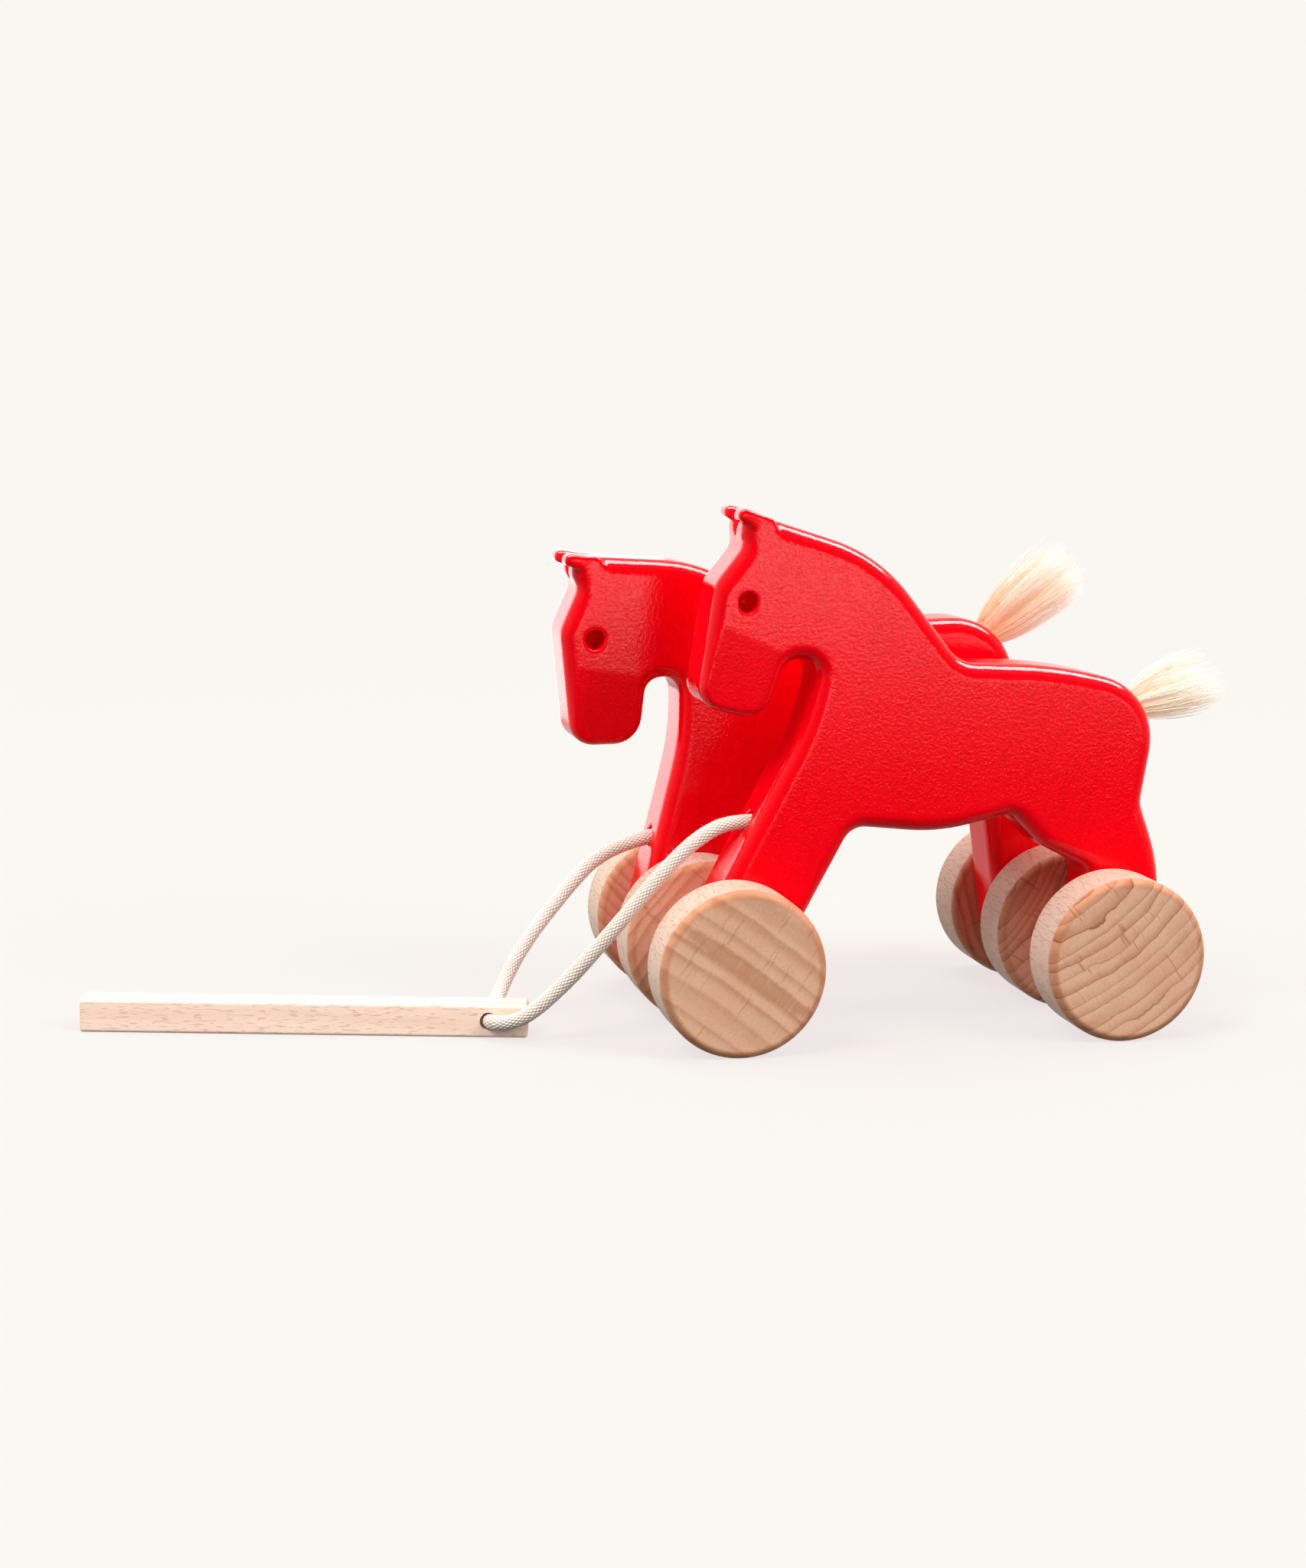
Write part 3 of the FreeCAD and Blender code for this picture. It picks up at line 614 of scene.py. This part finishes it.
def make_tail(horse):
    """Strands that leave the rump in locks, each lock with its own direction and opening."""
    look = TAIL_LOOKS[horse]
    random = np.random.default_rng(look["seed"])
    mouth = np.array(TAIL_MOUTHS[horse]) * MM
    lift = math.radians(look["lift"])
    axis = np.array([math.cos(lift), 0.0, math.sin(lift)])
    rise = np.array([-math.sin(lift), 0.0, math.cos(lift)])
    side = np.array([0.0, 1.0, 0.0])
    count = look["strands"]
    lock_turn = random.uniform(0, 2 * math.pi, TAIL_LOCKS)
    lock_open = np.sqrt(random.uniform(0, 1, TAIL_LOCKS))
    lock = random.integers(0, TAIL_LOCKS, count)
    turn = lock_turn[lock] + random.normal(0, 0.15, count)
    opening = np.clip(lock_open[lock] + random.normal(0, 0.06, count), 0, 1.15)
    out = np.cos(turn)[:, None] * rise + np.sin(turn)[:, None] * side
    foot = mouth + out * (opening * TAIL_ROOT_RADIUS)[:, None] - axis * TAIL_ROOT_DEPTH
    length = look["length"] * MM * random.uniform(0.62, 1.0, count) * (1 - 0.12 * opening ** 2)
    t = np.linspace(0, 1, TAIL_STEPS)[None, :, None]
    swell = np.sin(t ** TAIL_SWELL * TAIL_SWELL_TURN) / math.sin(TAIL_SWELL_TURN)
    reach = (opening * look["spread"] * length)[:, None, None]
    wave = (np.sin(t * random.uniform(4, 9, count)[:, None, None]
                   + random.uniform(0, 6.3, count)[:, None, None])
            * random.uniform(0.15, 1.0, count)[:, None, None] * MM * t)
    stray = random.normal(0, 0.9, (count, 3)) * MM
    lines = (foot[:, None] + axis * (length[:, None, None] * t) + out[:, None] * reach * swell
             + np.cross(axis, out)[:, None] * wave + stray[:, None] * t ** 2
             - np.array([0, 0, 1.0]) * look["droop"] * MM * t ** 2)
    tail = hairs_mesh(horse + "_tail_tuft", lines, random.uniform(0.07, 0.15, count) * MM)
    store(tail, "along", np.tile(np.repeat(np.linspace(0, 1, TAIL_STEPS), 3), count))
    store(tail, "tone", np.repeat(random.uniform(0, 1, TAIL_LOCKS)[lock] * 0.6
                                  + random.uniform(0, 0.4, count), TAIL_STEPS * 3))
    tail.data.materials.append(fibres(horse + "_strands", look["root"], look["tip"],
                                      look["shade"]))
    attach(tail, horse + "_horse")
    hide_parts(horse + "_tail")


for horse in TAIL_LOOKS:
    make_tail(horse)


# ------------------------------------------------------------------ dowels, handle, cords
HANDLE_YAW = math.radians(-12.32)
dowel_beech = long_grain("dowel_beech", (0, 0, math.pi / 2), colour(222, 182, 146),
                         colour(208, 162, 124))
handle_beech = long_grain("handle_beech", (0, 0, -HANDLE_YAW), colour(243, 214, 196),
                          colour(236, 202, 180))
for node, thing in frame["nodes"].items():
    if node.endswith("_dowel") or node == "pull_handle":
        thing.data.materials.clear()
        thing.data.materials.append(dowel_beech if node.endswith("_dowel") else handle_beech)

# each cotton's second colour is the painted shade between its yarns
near_cotton = cotton("near_cotton", colour(240, 228, 216), colour(170, 142, 122))
far_cotton = cotton("far_cotton", colour(250, 240, 230), colour(200, 170, 148))
for pieces, cloth in ((near_cord, near_cotton), (far_cord, far_cotton)):
    for piece in pieces:
        piece.data.materials.append(cloth)


# ------------------------------------------------------------------ floor, light
PAPER = colour(250, 247, 242)
SHADOW = colour(228, 219, 222)
FLOOR_HALF, WALL_START, WALL_RADIUS, WALL_TOP, WALL_STEPS = 6.0, 4.0, 1.5, 5.0, 17
SHADOW_REACH = (0.35, 1.1)                  # full shadows up to the first, none past the second
DOME_RADIUS, DOME_SIDES, DOME_ROWS = 5.9, 48, 14
FLOOR_LIGHT = 2.0                           # how brightly the lamps light a matt white floor
# How the world dims towards the front and the ground: axis, where it is dimmest, where it is
# full, dimmest strength.
WORLD_DIMMING = (("Y", -0.75, 0.35, 0.10), ("Z", -0.5, 0.0, 0.50))
GLOW_X, GLOW_Z, GLOW_WIDTH = 0.45, 0.004, 1.8
# Low cards just above the floor in front, which light the lacquer and are mirrored up the
# horses' necks: nearest y, farthest y, brightness.
GLOW_CARDS = ((-0.50, -0.70, 0.35), (-0.70, -0.95, 0.75), (-0.95, -1.20, 1.2),
              (-1.20, -1.45, 2.0), (-1.45, -1.75, 3.6), (-1.75, -4.5, 6.5))


def make_floor():
    """Seamless glowing paper: flat, then curving up far behind. Shadows near the toy only."""
    across = np.linspace(-FLOOR_HALF, FLOOR_HALF, 3)
    track = [(-FLOOR_HALF, 0.0), (0.0, 0.0), (WALL_START, 0.0)]
    for turn in np.linspace(0, math.pi / 2, WALL_STEPS)[1:]:
        track.append((WALL_START + WALL_RADIUS * math.sin(turn),
                      WALL_RADIUS * (1 - math.cos(turn))))
    track.append((WALL_START + WALL_RADIUS, WALL_TOP))
    points = [(x, y, z) for y, z in track for x in across]
    wide = len(across)
    faces = [(k * wide + i, k * wide + i + 1, (k + 1) * wide + i + 1, (k + 1) * wide + i)
             for k in range(len(track) - 1) for i in range(wide - 1)]
    floor = new_piece("paper_floor", points, faces)
    s = Shader("pale_paper")
    distance = s.add("ShaderNodeVectorMath", {0: s.place}, operation="LENGTH").outputs["Value"]
    away = s.fade(distance, *SHADOW_REACH)
    matt = tuple((p - d) / FLOOR_LIGHT for p, d in zip(PAPER[:3], SHADOW[:3])) + (1.0,)
    s.set({"Base Color": s.blend(away, matt, (0, 0, 0, 1)), "Roughness": 1.0,
           "Specular IOR Level": 0.0, "Emission Color": s.blend(away, SHADOW, PAPER),
           "Emission Strength": 1.0})
    floor.data.materials.append(s.material)
    floor.visible_diffuse = floor.visible_glossy = False


def make_dome():
    """Plain paper backdrop round and over the toy. The lamps and the world shine through it."""
    turns = np.linspace(0, 2 * math.pi, DOME_SIDES, endpoint=False)
    rises = np.linspace(0, math.pi / 2, DOME_ROWS)
    points = [(DOME_RADIUS * math.cos(e) * math.cos(a), DOME_RADIUS * math.cos(e) * math.sin(a),
               DOME_RADIUS * math.sin(e)) for e in rises for a in turns]
    faces = [(k * DOME_SIDES + i, k * DOME_SIDES + (i + 1) % DOME_SIDES,
              (k + 1) * DOME_SIDES + (i + 1) % DOME_SIDES, (k + 1) * DOME_SIDES + i)
             for k in range(DOME_ROWS - 1) for i in range(DOME_SIDES)]
    dome = new_piece("paper_dome", points, faces)
    s = Shader("dome_paper")
    s.set({"Base Color": (0, 0, 0, 1), "Roughness": 1.0, "Specular IOR Level": 0.0,
           "Emission Color": PAPER, "Emission Strength": 1.0})
    dome.data.materials.append(s.material)
    dome.visible_diffuse = dome.visible_glossy = dome.visible_shadow = False


def aim(lamp, towards):
    """Turn a lamp so that it shines from this direction."""
    lamp.rotation_euler = towards.to_track_quat("Z", "Y").to_euler()


def make_lamp(name, kind, strength, only=None, **settings):
    """A lamp that the camera can't see, for one collection or for everything."""
    data = bpy.data.lights.new(name, kind)
    data.energy = strength
    for word, value in settings.items():
        setattr(data, word, value)
    lamp = bpy.data.objects.new(name, data)
    bpy.context.scene.collection.objects.link(lamp)
    lamp.visible_camera = False
    if only is not None:
        lamp.light_linking.receiver_collection = only
    return lamp


def make_sun(name, azimuth, height, strength, spread, only=None):
    """A far soft source with no mirrored image, seen in this direction, in degrees. Azimuth 0
    is straight in front of the toy, and 90 is on the camera's right."""
    sun = make_lamp(name, "SUN", strength, only, angle=math.radians(spread))
    sun.visible_glossy = False
    a, e = math.radians(azimuth), math.radians(height)
    aim(sun, Vector((math.sin(a) * math.cos(e), -math.cos(a) * math.cos(e), math.sin(e))))


def make_card(name, centre, facing, wide, tall, radiance, only=None, lights=True):
    """A flat glowing card that faces this way: its brightness as seen, not its power.
    One that doesn't light anything is only seen in reflections."""
    card = make_lamp(name, "AREA", radiance * math.pi * wide * tall, only, shape="RECTANGLE",
                     size=wide, size_y=tall)
    card.location = centre
    card.visible_diffuse = lights
    aim(card, -Vector(facing))


def make_world():
    """Bright studio behind and at the sides, dimmer behind the camera and from below."""
    world = bpy.data.worlds.new("studio")
    world.use_nodes = True
    tree = world.node_tree
    sky = tree.nodes["Background"]
    place = tree.nodes.new("ShaderNodeTexCoord")
    axes = tree.nodes.new("ShaderNodeSeparateXYZ")
    tree.links.new(place.outputs["Generated"], axes.inputs[0])
    both = tree.nodes.new("ShaderNodeMath")
    both.operation = "MULTIPLY"
    for slot, (axis, low, high, dim) in enumerate(WORLD_DIMMING):
        level = tree.nodes.new("ShaderNodeMapRange")
        for word, value in (("From Min", low), ("From Max", high), ("To Min", dim)):
            level.inputs[word].default_value = value
        tree.links.new(axes.outputs[axis], level.inputs["Value"])
        tree.links.new(level.outputs["Result"], both.inputs[slot])
    tree.links.new(both.outputs[0], sky.inputs["Strength"])
    sky.inputs["Color"].default_value = PAPER
    bpy.context.scene.world = world


def make_group(name, words):
    """Collection of the meshes whose names hold one of these words."""
    group = bpy.data.collections.new(name)
    for piece in bpy.data.objects:
        if piece.type == "MESH" and any(word in piece.name for word in words):
            group.objects.link(piece)
    return group


make_floor()
make_dome()
make_world()
lacquered = make_group("lacquered", ("near_horse", "far_horse"))
make_card("overhead_strip", centre=(0.32, 0.05, 1.2), facing=(0, 0, -1), wide=2.4, tall=0.58,
          radiance=26.0, only=lacquered, lights=False)
make_sun("overhead_softbox", azimuth=200.0, height=72.0, strength=1.2, spread=30.0)
make_sun("left_softbox", azimuth=-60.0, height=48.0, strength=2.45, spread=30.0)
make_sun("right_softbox", azimuth=50.0, height=38.0, strength=2.7, spread=36.0)
make_sun("handle_fill", azimuth=-14.0, height=24.0, strength=0.95, spread=40.0,
         only=make_group("handle_only", ("pull_handle",)))
for number, (start, stop, glow) in enumerate(GLOW_CARDS):
    make_card("front_glow_%d" % number, centre=(GLOW_X, (start + stop) / 2, GLOW_Z),
              facing=(0, 0, 1), wide=GLOW_WIDTH, tall=start - stop, radiance=glow, only=lacquered)
make_card("rear_card", centre=(-0.24, 0.50, 0.25), facing=(0.1, -1, 0), wide=0.60, tall=0.50,
          radiance=1.5, only=lacquered)
bpy.context.scene.view_settings.view_transform = "Standard"
